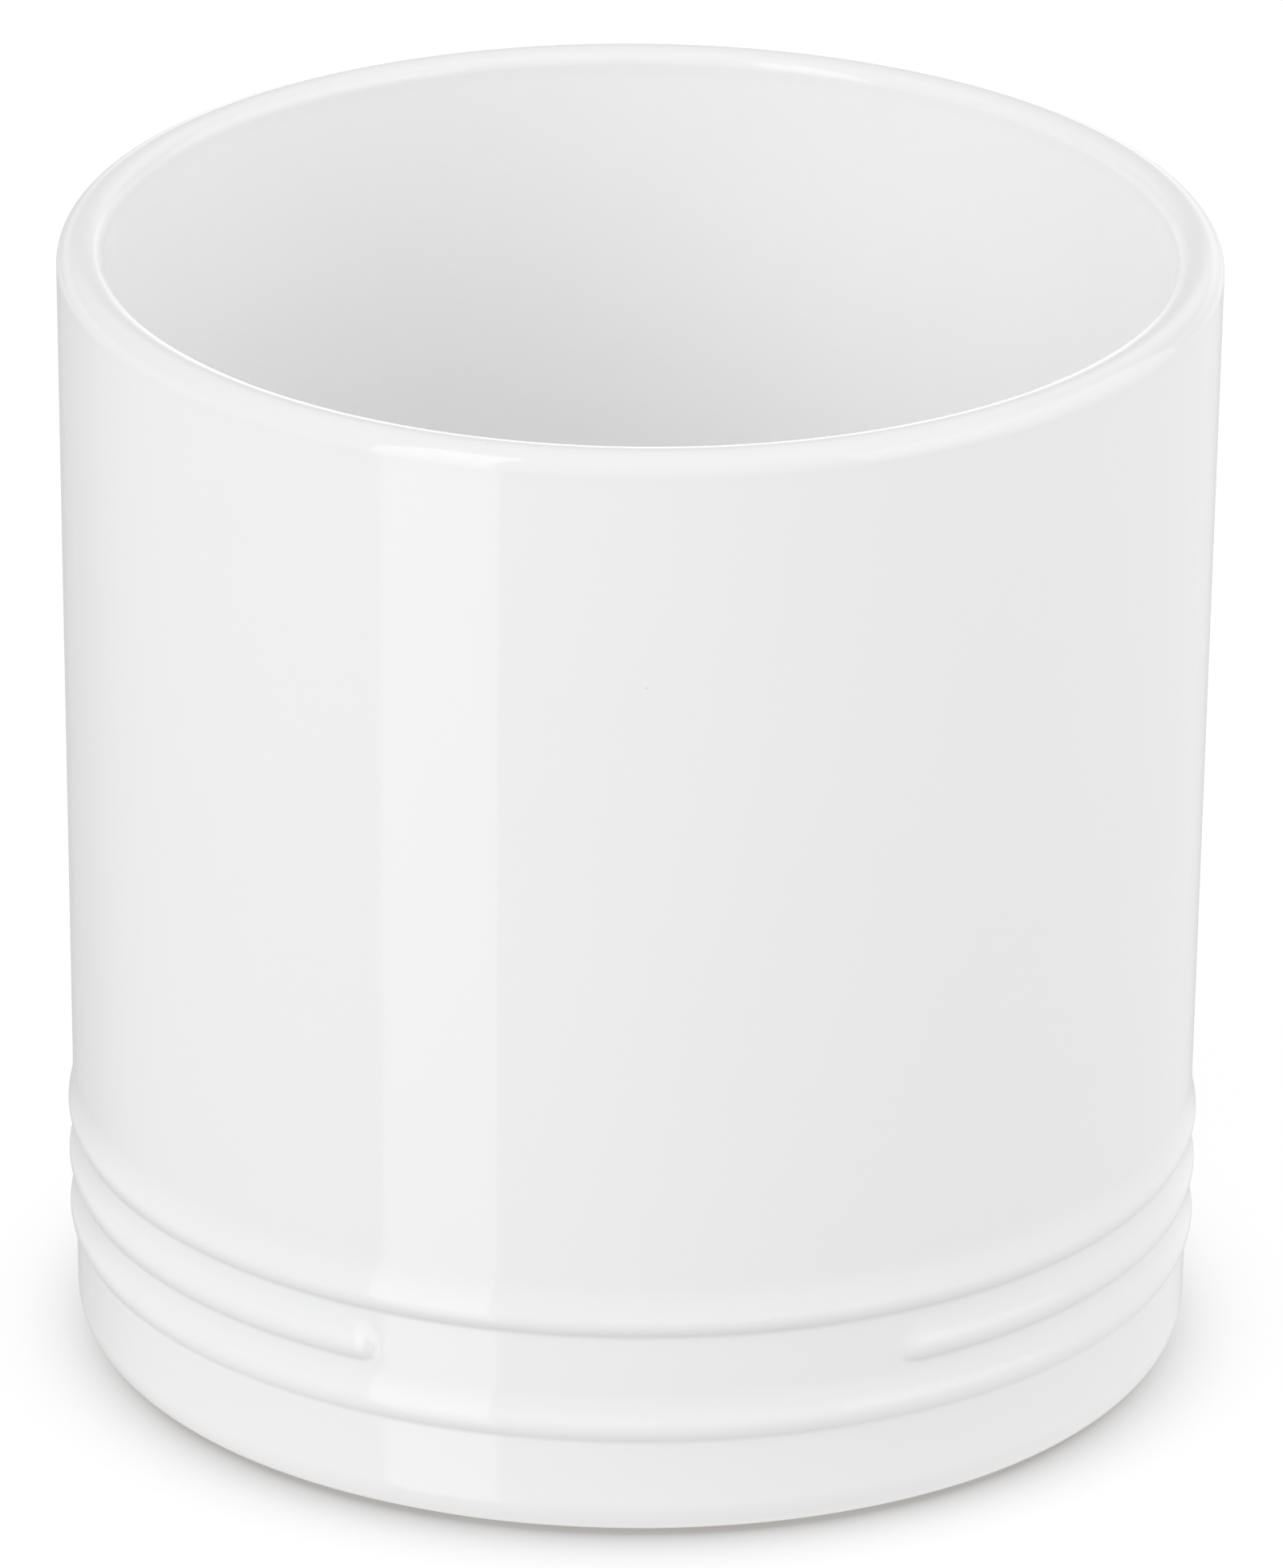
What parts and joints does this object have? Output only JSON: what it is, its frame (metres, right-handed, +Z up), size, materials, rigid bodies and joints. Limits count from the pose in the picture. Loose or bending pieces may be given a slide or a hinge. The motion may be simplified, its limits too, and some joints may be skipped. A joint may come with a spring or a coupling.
{
  "type": "utensil crock",
  "caption": "Straight-sided round stoneware crock with an open top, white glaze inside and out and soft beads above a plain base band, for holding kitchen tools upright.",
  "frame": {"origin": "on the crock's axis, in the plane of the foot ring that it stands on", "axes": "+Z up along the crock's axis, -Y towards the front with the plain panel"},
  "size_m": [0.16, 0.16, 0.1604],
  "materials": {
    "stoneware": "bare fired clay, matt, fine grain",
    "outside_glaze": "glossy white glaze",
    "inside_glaze": "glossy white glaze",
    "underside_glaze": "glossy white glaze"
  },
  "bodies": {
    "root": {"stoneware_body": "stoneware", "outside_glaze": "outside_glaze", "inside_glaze": "inside_glaze", "underside_glaze": "underside_glaze"}
  },
  "joints": []
}
